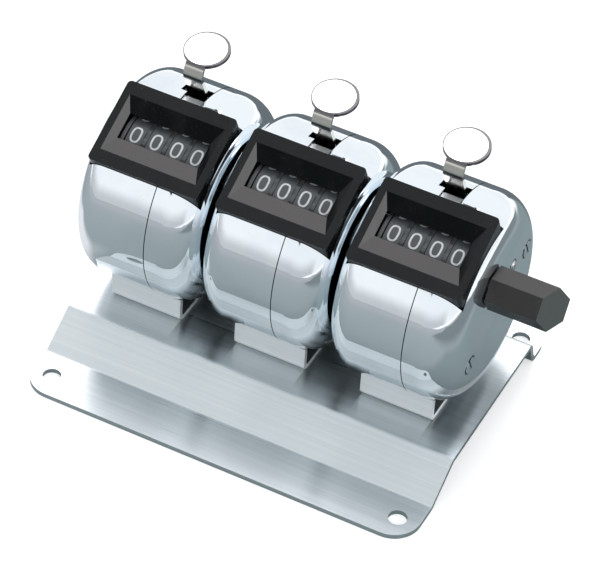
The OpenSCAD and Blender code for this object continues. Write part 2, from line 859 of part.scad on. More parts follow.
module reset_knob() {
    face = knob_turn + 210;
    over = knob_r * tan(knob_slant);
    color(BLACK)
        lying(knob_x, shaft_y, shaft_z)
            difference() {
                rotate(knob_turn)
                    cylinder(r = knob_r, h = knob_len + over, $fn = 6);
                translate([0, 0, knob_len])
                    rotate(a = knob_slant, v = [-sin(face), cos(face), 0])
                        translate([-2 * knob_r, -2 * knob_r, 0])
                            cube([4 * knob_r, 4 * knob_r, knob_len]);
                translate([0, 0, -1])
                    cylinder(r = shaft_r + run, h = knob_bore + 1);
                on_flat(grub_x)
                    cylinder(r = grub_r + run, h = 2 * knob_r);
            }
}

// Turns a solid to point out of the knob's rear flat, at the distance z from the case
module on_flat(z) {
    rotate(knob_turn + 30)
        translate([0, 0, z])
            rotate([0, 90, 0])
                children();
}

module knob_screw() {
    color(STEEL)
        lying(knob_x, shaft_y, shaft_z)
            on_flat(grub_x)
                translate([0, 0, shaft_r - flat_depth])
                    cylinder(r = grub_r, h = knob_r / 2);
}

module base_plate() {
    low = base_t / 2;
    high = deck_z - base_t / 2;
    section = [
        [-base_d / 2, low],
        [-ramp_foot, low],
        [-deck_front, high],
        [deck_rear, high],
        [wall_foot, low],
        [base_d / 2, low]
    ];
    color(STEEL)
        difference() {
            intersection() {
                along_x(-base_w / 2, base_w / 2)
                    polygon(ribbon(bent(section, 1.6), base_t));
                translate([0, 0, -1])
                    linear_extrude(deck_z + 2)
                        round_rect(base_w, base_d, base_corner);
            }
            for (x = [-1, 1], y = [-1, 1])
                translate([x * hole_dx / 2, y * hole_dy / 2, -1])
                    cylinder(r = hole_r, h = base_t + 2);
            for (i = [0 : 2])
                translate([row_shift + pitch * (i - 1) + screw_x, drum_y, deck_z - 2 * base_t])
                    cylinder(r = screw_r + fit, h = 3 * base_t);
        }
}

base_plate();
saddle_screws();
cover_screws();
cover_rivets();
spacer_washers();
reset_shaft();
reset_knob();
knob_screw();
for (i = [0 : 2]) {
    saddle(i);
    case_shell(i);
    side_cover(i);
    bezel(i);
    chassis(i);
    number_wheel(i, 0);
    number_wheel(i, 1);
    number_wheel(i, 2);
    number_wheel(i, 3);
    pinion_shaft(i);
    carry_pinions(i);
    thumb_lever(i);
    lever_pin(i);
    lever_spring(i);
    drive_pawl(i);
    detent_comb(i);
}
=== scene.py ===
"""Looks of a triple tally counter: finishes, printed figures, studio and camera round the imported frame."""

import logging
import math
from abc import ABC, abstractmethod
from dataclasses import dataclass
from enum import Enum
from functools import reduce
from typing import Sequence, Union

import bpy
from mathutils import Matrix, Vector


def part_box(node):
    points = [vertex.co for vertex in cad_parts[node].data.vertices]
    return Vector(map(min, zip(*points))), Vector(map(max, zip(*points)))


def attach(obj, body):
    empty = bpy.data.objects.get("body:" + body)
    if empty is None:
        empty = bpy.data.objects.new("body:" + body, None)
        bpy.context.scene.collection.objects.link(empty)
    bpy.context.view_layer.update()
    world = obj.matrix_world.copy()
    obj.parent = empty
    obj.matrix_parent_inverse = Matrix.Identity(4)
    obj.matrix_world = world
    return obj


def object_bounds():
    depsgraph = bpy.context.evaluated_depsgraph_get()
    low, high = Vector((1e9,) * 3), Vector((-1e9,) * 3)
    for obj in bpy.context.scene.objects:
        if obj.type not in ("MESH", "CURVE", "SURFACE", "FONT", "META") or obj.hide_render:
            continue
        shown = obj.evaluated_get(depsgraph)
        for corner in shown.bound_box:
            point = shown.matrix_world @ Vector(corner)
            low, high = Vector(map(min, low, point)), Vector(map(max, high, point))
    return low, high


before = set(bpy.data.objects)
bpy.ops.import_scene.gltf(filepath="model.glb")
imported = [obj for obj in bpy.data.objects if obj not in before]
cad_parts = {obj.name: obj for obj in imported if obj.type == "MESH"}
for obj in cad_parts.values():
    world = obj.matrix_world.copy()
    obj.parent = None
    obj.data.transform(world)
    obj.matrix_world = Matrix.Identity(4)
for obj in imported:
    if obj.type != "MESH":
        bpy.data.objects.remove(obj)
cad_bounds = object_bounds()

log = logging.getLogger("tally_counter")

Colour = tuple[float, float, float]
Range = tuple[float, float]
Socket = bpy.types.NodeSocket
Value = Union[float, Socket]
Outline = list[tuple[float, float]]

MM = 0.001
PHOTO_WIDTH = 600
COUNTER_PITCH = 31.0 * MM
# Middle of the middle saddle, along the row
SADDLE_X = -1.1 * MM
# Smallest angle, in degrees, that counts as an edge on folded sheet
FOLD_ANGLE = 50.0
X_AXIS = Vector((1.0, 0.0, 0.0))
Y_AXIS = Vector((0.0, 1.0, 0.0))
Z_AXIS = Vector((0.0, 0.0, 1.0))
# Painted shade for the case seam, the rings round the heads, and the screw slots and rims
PAINTED_SHADE: Colour = (0.03, 0.03, 0.03)
PALE_DUST: Colour = (0.55, 0.56, 0.57)


class Side(Enum):
    """The three counters of the row."""

    LEFT = "left"
    MIDDLE = "middle"
    RIGHT = "right"


class Decade(Enum):
    """The four number wheels of a counter, from left to right."""

    THOUSANDS = "thousands"
    HUNDREDS = "hundreds"
    TENS = "tens"
    UNITS = "units"


def from_display(red: int, green: int, blue: int) -> Colour:
    """Turns a display colour into the linear colour that shaders take.

    Args:
        red: Red from 0 to 255.
        green: Green from 0 to 255.
        blue: Blue from 0 to 255.

    Returns:
        The linear colour.
    """

    def channel(level: int) -> float:
        """Returns one channel as linear light."""
        share = level / 255
        return share / 12.92 if share <= 0.04045 else ((share + 0.055) / 1.055) ** 2.4

    return channel(red), channel(green), channel(blue)


class Wiring:
    """Adds and joins shader nodes in one tree."""

    def __init__(self, tree: bpy.types.NodeTree) -> None:
        """Keeps the node tree of a material, a group or the world, to work on."""
        self.tree = tree

    def add(self, kind: str, **settings: object) -> bpy.types.Node:
        """Adds a node.

        Args:
            kind: The node's type name, without the ShaderNode prefix.
            settings: Properties to set on the node.

        Returns:
            The new node.
        """
        node = self.tree.nodes.new("ShaderNode" + kind)
        for key, value in settings.items():
            setattr(node, key, value)
        return node

    def feed(self, socket: Socket, value: object) -> None:
        """Links a socket to an input, or sets the input's own value.

        Args:
            socket: The input.
            value: A socket to link, or a plain value.
        """
        if isinstance(value, bpy.types.NodeSocket):
            self.tree.links.new(value, socket)
        else:
            socket.default_value = value

    def math(self, operation: str, *values: Value, clamp: bool = False) -> Socket:
        """Adds a Math node.

        Args:
            operation: The node's operation.
            values: Its inputs, in order.
            clamp: Whether the result is held from 0 to 1.

        Returns:
            The result.
        """
        node = self.add("Math", operation=operation, use_clamp=clamp)
        for socket, value in zip(node.inputs, values):
            self.feed(socket, value)
        return node.outputs[0]

    def product(self, *values: Value) -> Socket:
        """Returns the product of values."""
        return reduce(lambda first, second: self.math("MULTIPLY", first, second), values)

    def plus(self, value: Value, mask: Socket, amount: float) -> Socket:
        """Returns a value with an amount added where a mask is 1."""
        return self.math("ADD", value, self.math("MULTIPLY", mask, amount))

    def dot(self, direction: Socket, axis: Vector) -> Socket:
        """Measures a direction or a place along an axis.

        Args:
            direction: The direction or the place.
            axis: The axis, of length 1.

        Returns:
            The share that lies along the axis.
        """
        node = self.add("VectorMath", operation="DOT_PRODUCT")
        self.feed(node.inputs[0], direction)
        self.feed(node.inputs[1], tuple(axis))
        return node.outputs["Value"]

    def past(self, place: Socket, axis: Vector, middle: float) -> Socket:
        """Returns how far a place lies past a middle, along an axis."""
        return self.math("SUBTRACT", self.dot(place, axis), middle)

    def in_row(self, place: Socket, middle: float) -> Socket:
        """Returns how far right a place lies of a middle that comes again with each counter."""
        return self.math("WRAP", self.past(place, X_AXIS, middle), COUNTER_PITCH / 2, -COUNTER_PITCH / 2)

    def length(self, first: Socket, second: Socket) -> Socket:
        """Returns the length of a way whose shares along two axes are given."""
        squares = [self.math("MULTIPLY", way, way) for way in (first, second)]
        return self.math("SQRT", self.math("ADD", *squares))

    def off_line(self, place: Socket, line_y: float, line_z: float) -> Socket:
        """Returns how far a place lies off a line along the row."""
        return self.length(self.past(place, Y_AXIS, line_y), self.past(place, Z_AXIS, line_z))

    def scaled(self, vector: Socket, scale: tuple[float, float, float]) -> Socket:
        """Scales a vector along each axis.

        Args:
            vector: The vector.
            scale: The scale along X, Y and Z.

        Returns:
            The scaled vector.
        """
        node = self.add("Mapping")
        self.feed(node.inputs["Vector"], vector)
        self.feed(node.inputs["Scale"], scale)
        return node.outputs[0]

    def noise(self, vector: Socket, scale: Value, detail: float, roughness: float = 0.5) -> Socket:
        """Adds a Noise Texture.

        Args:
            vector: Where it is read.
            scale: Features for each metre.
            detail: Octaves.
            roughness: Weight of the fine octaves.

        Returns:
            The noise, round 0.5.
        """
        node = self.add("TexNoise")
        for name, value in dict(Vector=vector, Scale=scale, Detail=detail, Roughness=roughness).items():
            self.feed(node.inputs[name], value)
        return node.outputs[0]

    def span(self, value: Value, low: float, high: float, to_low: Value = 0.0, to_high: Value = 1.0,
             smooth: bool = False) -> Socket:
        """Maps a span of values to another, held at its ends.

        Args:
            value: The value to map.
            low: Start of the span.
            high: End of the span.
            to_low: Result at the start.
            to_high: Result at the end.
            smooth: Whether the result eases in and out.

        Returns:
            The mapped value.
        """
        node = self.add("MapRange", interpolation_type="SMOOTHSTEP" if smooth else "LINEAR")
        for socket, given in zip(node.inputs, (value, low, high, to_low, to_high)):
            self.feed(socket, given)
        return node.outputs[0]

    def falling(self, value: Value, low: float, high: float, smooth: bool = False) -> Socket:
        """Returns 1 up to the start of a span of values and 0 from its end on."""
        return self.span(value, low, high, 1.0, 0.0, smooth)

    def between(self, share: Value, first: Value, second: Value) -> Socket:
        """Returns the number that lies a share of the way from one number to another."""
        return self.span(share, 0.0, 1.0, first, second)

    def line(self, off: Socket, half: float, core: float) -> Socket:
        """Draws a line.

        Args:
            off: How far a place lies off the line's middle, to either side.
            half: Half of the line's width.
            core: Share of the half width in which the line is full.

        Returns:
            1 on the line and 0 off it.
        """
        return self.falling(self.math("ABSOLUTE", off), core * half, half)

    def blend(self, share: Value, first: object, second: object) -> Socket:
        """Blends two colours.

        Args:
            share: Share of the second colour.
            first: First colour, plain or linked.
            second: Second colour, plain or linked.

        Returns:
            The blended colour.
        """
        node = self.add("Mix", data_type="RGBA")
        self.feed(node.inputs["Factor"], share)
        for socket, colour in zip((node.inputs[6], node.inputs[7]), (first, second)):
            self.feed(socket, (*colour, 1.0) if isinstance(colour, tuple) else colour)
        return node.outputs[2]

    def bump(self, height: Socket, distance: float, strength: float) -> Socket:
        """Turns a height into a normal.

        Args:
            height: The height, from 0 to 1.
            distance: Real depth of the relief, in metres.
            strength: Strength from 0 to 1.

        Returns:
            The normal.
        """
        node = self.add("Bump")
        for name, value in dict(Height=height, Distance=distance, Strength=strength).items():
            self.feed(node.inputs[name], value)
        return node.outputs[0]


class EffectSheet:
    """One shader node group being made, which takes a place and numbers and puts out numbers."""

    def __init__(self, name: str, inputs: Sequence[str], outputs: Sequence[str]) -> None:
        """Starts the group.

        Args:
            name: The group's name.
            inputs: Its number inputs. A Place input comes before them.
            outputs: Its number outputs.
        """
        self.group = bpy.data.node_groups.new(name, "ShaderNodeTree")
        self.group.interface.new_socket("Place", in_out="INPUT", socket_type="NodeSocketVector")
        for in_out, labels in (("INPUT", inputs), ("OUTPUT", outputs)):
            for label in labels:
                self.group.interface.new_socket(label, in_out=in_out, socket_type="NodeSocketFloat")
        self.wiring = Wiring(self.group)
        self.given = self.group.nodes.new("NodeGroupInput").outputs
        self.place = self.given["Place"]
        self.results = self.group.nodes.new("NodeGroupOutput").inputs

    def put_out(self, **values: Socket) -> bpy.types.NodeTree:
        """Feeds the group's outputs.

        Args:
            values: Their sockets, by name.

        Returns:
            The finished group.
        """
        for label, value in values.items():
            self.wiring.feed(self.results[label], value)
        return self.group


class SurfaceEffects:
    """The effects that several finishes share, each a node group that is built once."""

    def __init__(self) -> None:
        """Builds the groups."""
        self.haze = self._make_haze()
        self.brushing = self._make_brushing()
        self.grain = self._make_grain()
        self.dust = self._make_dust()
        self.scratches = self._make_scratches()

    @staticmethod
    def _make_haze() -> bpy.types.NodeTree:
        """Makes soft cloudy patches, as handling leaves on a bright surface.

        Returns:
            The group.
        """
        sheet = EffectSheet("Haze", ("Size",), ("Mask",))
        broad = sheet.wiring.noise(sheet.place, sheet.given["Size"], detail=3.0, roughness=0.55)
        return sheet.put_out(Mask=sheet.wiring.span(broad, low=0.42, high=0.66, smooth=True))

    @staticmethod
    def _make_brushing() -> bpy.types.NodeTree:
        """Makes long lines along X, fine ones for relief and broad ones for tone.

        Returns:
            The group.
        """
        fine_lines = (40.0, 5200.0, 5200.0)
        broad_lines = (14.0, 1500.0, 1500.0)
        sheet = EffectSheet("Brushing", (), ("Height", "Tone"))
        wiring = sheet.wiring
        fine = wiring.noise(wiring.scaled(sheet.place, fine_lines), scale=1.0, detail=2.0, roughness=0.6)
        broad = wiring.noise(wiring.scaled(sheet.place, broad_lines), scale=1.0, detail=3.0, roughness=0.65)
        return sheet.put_out(
            Height=wiring.math("MULTIPLY", wiring.math("ADD", fine, broad), 0.5),
            Tone=wiring.span(broad, low=0.32, high=0.68),
        )

    @staticmethod
    def _make_grain() -> bpy.types.NodeTree:
        """Makes the fine spark-eroded grain of a moulded face.

        Returns:
            The group.
        """
        sheet = EffectSheet("Grain", ("Size",), ("Height",))
        relief = sheet.wiring.noise(sheet.place, sheet.given["Size"], detail=3.0, roughness=0.6)
        return sheet.put_out(Height=relief)

    @staticmethod
    def _make_dust() -> bpy.types.NodeTree:
        """Makes sparse specks.

        Returns:
            The group.
        """
        sheet = EffectSheet("Dust", ("Amount",), ("Mask",))
        wiring = sheet.wiring
        specks = wiring.noise(sheet.place, scale=2600.0, detail=1.0, roughness=0.4)
        patches = wiring.noise(sheet.place, scale=130.0, detail=2.0)
        raw = wiring.product(
            wiring.span(specks, low=0.68, high=0.78), wiring.span(patches, low=0.45, high=0.7))
        return sheet.put_out(Mask=wiring.math("MULTIPLY", raw, sheet.given["Amount"], clamp=True))

    @staticmethod
    def _make_scratches() -> bpy.types.NodeTree:
        """Makes sparse hairlines that run in two directions.

        Returns:
            The group.
        """
        hair_turns = ((0.3, 0.6, 0.5), (0.3, 0.6, 2.1))
        hair_scale = (1.0, 30.0, 30.0)
        sheet = EffectSheet("Scratches", ("Size",), ("Mask",))
        wiring = sheet.wiring
        masks = []
        for turn in hair_turns:
            mapping = wiring.add("Mapping")
            for name, value in dict(Vector=sheet.place, Rotation=turn, Scale=hair_scale).items():
                wiring.feed(mapping.inputs[name], value)
            hair = wiring.noise(mapping.outputs[0], sheet.given["Size"], detail=1.0)
            masks.append(wiring.span(hair, low=0.70, high=0.74))
        return sheet.put_out(Mask=wiring.math("MAXIMUM", *masks))


class FinishSheet:
    """One material being made: its wiring, its shader and the place that its textures read."""

    def __init__(self, name: str) -> None:
        """Starts a material with a Principled shader.

        Args:
            name: The material's name.
        """
        self.material = bpy.data.materials.new(name)
        self.material.use_nodes = True
        self.wiring = Wiring(self.material.node_tree)
        self.shader = self.material.node_tree.nodes["Principled BSDF"]
        coordinates = self.wiring.add("TexCoord")
        self.place = coordinates.outputs["Object"]
        self.normal = coordinates.outputs["Normal"]

    def effect(self, group: bpy.types.NodeTree, **values: float) -> bpy.types.Node:
        """Places a shared effect in the material.

        Args:
            group: The effect's node group.
            values: Its number inputs, by name.

        Returns:
            The group's node.
        """
        node = self.wiring.add("Group", node_tree=group)
        self.wiring.feed(node.inputs["Place"], self.place)
        for label, value in values.items():
            self.wiring.feed(node.inputs[label], value)
        return node

    def mask(self, group: bpy.types.NodeTree, **values: float) -> Socket:
        """Places a shared effect and returns its first output."""
        return self.effect(group, **values).outputs[0]

    def stamped(self, effects: SurfaceEffects) -> tuple[Socket, Socket]:
        """Returns the stain mask and the relief of turned or stamped metal."""
        grain = self.mask(effects.grain, Size=3500.0)
        return self.mask(effects.haze, Size=260.0), self.wiring.bump(grain, distance=0.01 * MM, strength=0.5)

    def set(self, **values: object) -> None:
        """Feeds the shader's inputs, whose names are given with _ for a space."""
        for label, value in values.items():
            socket = self.shader.inputs[label.replace("_", " ")]
            self.wiring.feed(socket, (*value, 1.0) if isinstance(value, tuple) and len(value) == 3 else value)


@dataclass(frozen=True)
class Finish(ABC):
    """A finish of some of the part's pieces."""

    name: str

    def build(self, effects: SurfaceEffects) -> bpy.types.Material:
        """Builds the material.

        Args:
            effects: The shared effects.

        Returns:
            The material.
        """
        sheet = FinishSheet(self.name)
        self.wire(sheet, effects)
        return sheet.material

    @abstractmethod
    def wire(self, sheet: FinishSheet, effects: SurfaceEffects) -> None:
        """Feeds the shader of the material being made."""

    def paint_shade(self, sheet: FinishSheet, colour: Socket) -> Socket:
        """Returns a colour with the painted shade of the piece, of which most finishes have none."""
        return colour


@dataclass(frozen=True)
class ChromePlate(Finish):
    """Bright plate over drawn or bent steel, with faint haze, hairlines and dust."""

    tint: Colour
    haze_tint: Colour
    roughness: float
    haze_roughness: float
    haze_size: float = 70.0
    hair_size: float = 160.0
    hair_wear: float = 0.03
    dust_amount: float = 0.35
    dust_wear: float = 0.3

    def wire(self, sheet: FinishSheet, effects: SurfaceEffects) -> None:
        """Feeds the shader.

        Args:
            sheet: The material being made.
            effects: The shared effects.
        """
        wiring = sheet.wiring
        haze = sheet.mask(effects.haze, Size=self.haze_size)
        hairs = sheet.mask(effects.scratches, Size=self.hair_size)
        dust = sheet.mask(effects.dust, Amount=self.dust_amount)
        soft = wiring.between(haze, self.roughness, self.haze_roughness)
        dusty = wiring.blend(dust, wiring.blend(haze, self.tint, self.haze_tint), PALE_DUST)
        sheet.set(
            Base_Color=self.paint_shade(sheet, dusty),
            Metallic=1.0,
            Roughness=wiring.plus(wiring.plus(soft, hairs, self.hair_wear), dust, self.dust_wear),
        )


@dataclass(frozen=True)
class CasePlate(ChromePlate):
    """Chrome of the cases, with painted shade along the seam between the shells and round the screw and rivet
    heads.
    """

    seam_x: float = 2.53 * MM
    seam_half: float = 0.14 * MM
    seam_core: float = 0.6
    # Y, Z and radius of each screw and rivet head
    heads: tuple[tuple[float, float, float], ...] = (
        (20.12 * MM, 38.85 * MM, 2.1 * MM),
        (-6.12 * MM, 26.05 * MM, 2.1 * MM),
        (12.7 * MM, 39.68 * MM, 1.5 * MM),
    )
    ring_half: float = 0.28 * MM
    ring_core: float = 0.5
    side_facing: Range = (0.9, 0.95)

    def paint_shade(self, sheet: FinishSheet, colour: Socket) -> Socket:
        """Draws painted shade along the seam and round the heads.

        Args:
            sheet: The material being made.
            colour: The plate's colour.

        Returns:
            The colour with the painted shade on it.
        """
        wiring = sheet.wiring
        # Painted shade: a dark line along the seam and dark rings round the screw and rivet heads on the side
        # face, where shade falls in the gaps
        mask = wiring.line(wiring.in_row(sheet.place, self.seam_x), self.seam_half, self.seam_core)
        on_side = wiring.span(wiring.dot(sheet.normal, X_AXIS), *self.side_facing)
        for head_y, head_z, radius in self.heads:
            past_rim = wiring.math("SUBTRACT", wiring.off_line(sheet.place, head_y, head_z), radius)
            ring = wiring.line(past_rim, self.ring_half, self.ring_core)
            mask = wiring.math("MAXIMUM", mask, wiring.product(ring, on_side))
        return wiring.blend(mask, colour, PAINTED_SHADE)


@dataclass(frozen=True)
class SlottedHead(ChromePlate):
    """Chrome of the slotted screw heads, with painted shade in the slot and down the rim."""

    face_x: float = 15.25 * MM
    black_depth: float = 0.176 * MM
    unshaded_depth: float = 0.066 * MM

    def paint_shade(self, sheet: FinishSheet, colour: Socket) -> Socket:
        """Draws painted shade in the slot and down the rim.

        Args:
            sheet: The material being made.
            colour: The plate's colour.

        Returns:
            The colour with the painted shade on it.
        """
        # Painted shade: everything sunk below the head's face, the slot and the rim, turns dark
        off = sheet.wiring.in_row(sheet.place, SADDLE_X)
        black, unshaded = self.face_x - self.black_depth, self.face_x - self.unshaded_depth
        return sheet.wiring.blend(sheet.wiring.falling(off, black, unshaded), colour, PAINTED_SHADE)


@dataclass(frozen=True)
class BrushedSheet(Finish):
    """Stainless sheet, brushed along the row."""

    tint: Colour
    dark_tint: Colour
    roughness: float
    rough_lines: float
    relief: float
    metallic: float = 1.0
    streak: float = 0.75
    haze_size: float = 45.0
    haze_share: float = 0.25
    haze_wear: float = 0.04

    def wire(self, sheet: FinishSheet, effects: SurfaceEffects) -> None:
        """Feeds the shader.

        Args:
            sheet: The material being made.
            effects: The shared effects.
        """
        wiring = sheet.wiring
        brushing = sheet.effect(effects.brushing)
        tone = brushing.outputs["Tone"]
        haze = sheet.mask(effects.haze, Size=self.haze_size)
        lined = wiring.blend(tone, self.dark_tint, self.tint)
        hazy = wiring.blend(wiring.product(haze, self.haze_share), lined, self.dark_tint)
        soft = wiring.between(tone, self.roughness, self.rough_lines)
        sheet.set(
            Base_Color=self.paint_shade(sheet, hazy),
            Metallic=self.metallic,
            Roughness=wiring.plus(soft, haze, self.haze_wear),
            Normal=wiring.bump(brushing.outputs["Height"], self.relief, strength=1.0),
            Tangent=wiring.add("Tangent", direction_type="RADIAL", axis="X").outputs["Tangent"],
            Anisotropic=self.streak,
        )


@dataclass(frozen=True)
class DeckSheet(BrushedSheet):
    """Stainless sheet of the base, with painted shade and a painted dark reflection of the drums on the deck
    between the saddles.
    """

    saddle_side: Range = (8.3 * MM, 8.6 * MM)
    row_end: Range = (-40.0 * MM, -36.0 * MM)
    front_end: Range = (-15.0 * MM, -8.0 * MM)
    rear_end: Range = (6.0 * MM, 20.0 * MM)
    deck_top: Range = (6.9 * MM, 7.1 * MM)
    deck_shade_share: float = 0.5
    deck_shade_tint: Colour = (0.0, 0.01, 0.015)

    def paint_shade(self, sheet: FinishSheet, colour: Socket) -> Socket:
        """Paints shade and the drums' dark reflection on the deck between the saddles.

        Args:
            sheet: The material being made.
            colour: The sheet's colour.

        Returns:
            The colour with the painted shade.
        """
        wiring = sheet.wiring
        across, along, height = (wiring.dot(sheet.place, axis) for axis in (X_AXIS, Y_AXIS, Z_AXIS))
        # Painted shade and painted dark reflection of the drums, beside each saddle on the deck top
        share = wiring.product(
            self.deck_shade_share,
            wiring.span(wiring.math("ABSOLUTE", wiring.in_row(sheet.place, SADDLE_X)), *self.saddle_side),
            wiring.span(across, *self.row_end, smooth=True),
            wiring.span(along, *self.front_end, smooth=True),
            wiring.falling(along, *self.rear_end, smooth=True),
            wiring.span(height, *self.deck_top),
        )
        return wiring.blend(share, colour, self.deck_shade_tint)


@dataclass(frozen=True)
class SaddleSheet(BrushedSheet):
    """Stainless sheet of the saddles, with painted shade on the floor under the drum."""

    floor_top: Range = (9.5 * MM, 9.7 * MM)
    floor_facing: Range = (0.8, 0.95)
    floor_shade_share: float = 0.9
    floor_shade_tint: Colour = (0.02, 0.03, 0.032)

    def paint_shade(self, sheet: FinishSheet, colour: Socket) -> Socket:
        """Paints shade on the saddle's floor under the drum.

        Args:
            sheet: The material being made.
            colour: The sheet's colour.

        Returns:
            The colour with the painted shade.
        """
        wiring = sheet.wiring
        # Painted shade on the upward faces of the floor, low under the drum
        upward = wiring.span(wiring.dot(sheet.normal, Z_AXIS), *self.floor_facing, 0.0, self.floor_shade_share)
        low = wiring.falling(wiring.dot(sheet.place, Z_AXIS), *self.floor_top)
        return wiring.blend(wiring.product(upward, low), colour, self.floor_shade_tint)


@dataclass(frozen=True)
class MouldedPlastic(Finish):
    """Dark moulded plastic with a fine grain and a little dust."""

    tint: Colour
    bloom_tint: Colour
    roughness: float
    bloom_roughness: float
    grain_size: float
    relief: float
    ior: float = 1.5
    dustiness: float = 0.5
    haze_size: float = 120.0
    grain_strength: float = 0.6
    dust_tint: Colour = (0.2, 0.2, 0.2)
    dust_wear: float = 0.3

    def wire(self, sheet: FinishSheet, effects: SurfaceEffects) -> None:
        """Feeds the shader.

        Args:
            sheet: The material being made.
            effects: The shared effects.
        """
        wiring = sheet.wiring
        grain = sheet.mask(effects.grain, Size=self.grain_size)
        haze = sheet.mask(effects.haze, Size=self.haze_size)
        dust = sheet.mask(effects.dust, Amount=self.dustiness)
        soft = wiring.between(haze, self.roughness, self.bloom_roughness)
        sheet.set(
            Base_Color=wiring.blend(dust, wiring.blend(haze, self.tint, self.bloom_tint), self.dust_tint),
            Roughness=wiring.plus(soft, dust, self.dust_wear),
            Normal=wiring.bump(grain, self.relief, self.grain_strength),
            IOR=self.ior,
        )


@dataclass(frozen=True)
class KnobPlastic(Finish):
    """Black moulded plastic of the knob, whose end face, picked by the way it faces, is coloured greyer and
    rougher than its flats.
    """

    tint: Colour
    bloom_tint: Colour
    end_tint: Colour
    roughness: float
    end_roughness: float
    grain_size: float
    relief: float
    ior: float = 1.52
    dustiness: float = 0.6
    haze_size: float = 160.0
    grain_strength: float = 0.6
    dust_tint: Colour = (0.18, 0.18, 0.18)
    end_facing: Range = (0.6, 0.85)

    def wire(self, sheet: FinishSheet, effects: SurfaceEffects) -> None:
        """Feeds the shader.

        Args:
            sheet: The material being made.
            effects: The shared effects.
        """
        wiring = sheet.wiring
        grain = sheet.mask(effects.grain, Size=self.grain_size)
        haze = sheet.mask(effects.haze, Size=self.haze_size)
        dust = sheet.mask(effects.dust, Amount=self.dustiness)
        end = wiring.span(wiring.dot(sheet.normal, X_AXIS), *self.end_facing)
        flats = wiring.blend(haze, self.tint, self.bloom_tint)
        sheet.set(
            Base_Color=wiring.blend(dust, wiring.blend(end, flats, self.end_tint), self.dust_tint),
            Roughness=wiring.between(end, self.roughness, self.end_roughness),
            Normal=wiring.bump(grain, self.relief, self.grain_strength),
            IOR=self.ior,
        )


@dataclass(frozen=True)
class PlainMetal(Finish):
    """Turned or stamped metal with a dull, slightly uneven surface."""

    tint: Colour
    stain_tint: Colour
    roughness: float
    stain_roughness: float

    def wire(self, sheet: FinishSheet, effects: SurfaceEffects) -> None:
        """Feeds the shader.

        Args:
            sheet: The material being made.
            effects: The shared effects.
        """
        stain, relief = sheet.stamped(effects)
        sheet.set(
            Base_Color=sheet.wiring.blend(stain, self.tint, self.stain_tint),
            Metallic=1.0,
            Roughness=sheet.wiring.between(stain, self.roughness, self.stain_roughness),
            Normal=relief,
        )


@dataclass(frozen=True)
class LeverPlate(Finish):
    """Satin nickel plate of the lever, with painted shade on the thumb pad's rim, in a line just inside its
    edge, in the crease under the pad and on the band below it.
    """

    tint: Colour
    haze_tint: Colour
    edge_shade_tint: Colour
    band_shade_tint: Colour
    roughness: float
    haze_roughness: float
    rim_roughness: float
    haze_size: float = 70.0
    dust_amount: float = 0.25
    pad_rise: float = 9.0
    pad_foot: float = 64.6 * MM
    pad_x: float = -0.46 * MM
    pad_y: float = 14.5 * MM
    pad_radius: float = 5.12 * MM
    pad_facing: Range = (0.3, 0.97)
    outline_inset: Range = (0.5 * MM, 0.42 * MM)
    outline_share: float = 0.95
    crease_foot: float = 60.9 * MM
    crease_edge: float = 0.3 * MM
    band_foot: float = 62.4 * MM
    edge: float = 0.2 * MM

    def wire(self, sheet: FinishSheet, effects: SurfaceEffects) -> None:
        """Feeds the shader.

        Args:
            sheet: The material being made.
            effects: The shared effects.
        """
        wiring = sheet.wiring
        haze = sheet.mask(effects.haze, Size=self.haze_size)
        dust = sheet.mask(effects.dust, Amount=self.dust_amount)
        height = wiring.dot(sheet.place, Z_AXIS)
        on_pad = wiring.span(height, self.pad_foot, self.pad_foot + self.edge)
        under_pad = wiring.math("SUBTRACT", 1.0, on_pad)
        # Painted shade: the pad's rim and a line inside its edge, the crease under the pad and the band below
        # it are darkened
        pad_edge_shade = wiring.math("MAXIMUM", self.sheared_rim(sheet), self.outline(sheet))
        painted_dark = wiring.math("MAXIMUM", wiring.product(pad_edge_shade, on_pad), self.crease(wiring, height))
        soft = wiring.between(haze, self.roughness, self.haze_roughness)
        plain = wiring.blend(dust, wiring.blend(haze, self.tint, self.haze_tint), PALE_DUST)
        band = wiring.product(wiring.span(height, self.crease_foot, self.band_foot), under_pad)
        sheet.set(
            Base_Color=wiring.blend(painted_dark, wiring.blend(band, plain, self.band_shade_tint), self.edge_shade_tint),
            Metallic=1.0,
            Roughness=wiring.between(painted_dark, soft, self.rim_roughness),
        )

    def sheared_rim(self, sheet: FinishSheet) -> Socket:
        """Finds the pad's sheared rim.

        Args:
            sheet: The material being made.

        Returns:
            1 where the surface turns away from the pad's face.
        """
        rise = math.radians(self.pad_rise)
        face = Vector((0.0, -math.sin(rise), math.cos(rise)))
        facing = sheet.wiring.math("ABSOLUTE", sheet.wiring.dot(sheet.normal, face))
        return sheet.wiring.falling(facing, *self.pad_facing)

    def outline(self, sheet: FinishSheet) -> Socket:
        """Draws the line of painted shade just inside the pad's edge.

        Args:
            sheet: The material being made.

        Returns:
            The line's mask.
        """
        wiring = sheet.wiring
        across, along = wiring.in_row(sheet.place, self.pad_x), wiring.past(sheet.place, Y_AXIS, self.pad_y)
        out = wiring.length(across, along)
        inner, outer = (self.pad_radius - inset for inset in self.outline_inset)
        return wiring.span(out, inner, outer, 0.0, self.outline_share)

    def crease(self, wiring: Wiring, height: Socket) -> Socket:
        """Draws the painted shade in the crease under the pad.

        Args:
            wiring: The material's wiring.
            height: The place's height.

        Returns:
            The crease's mask.
        """
        above = wiring.span(height, self.crease_foot, self.crease_foot + self.crease_edge)
        below = wiring.falling(height, self.band_foot - self.edge, self.band_foot + self.edge)
        return wiring.product(above, below)


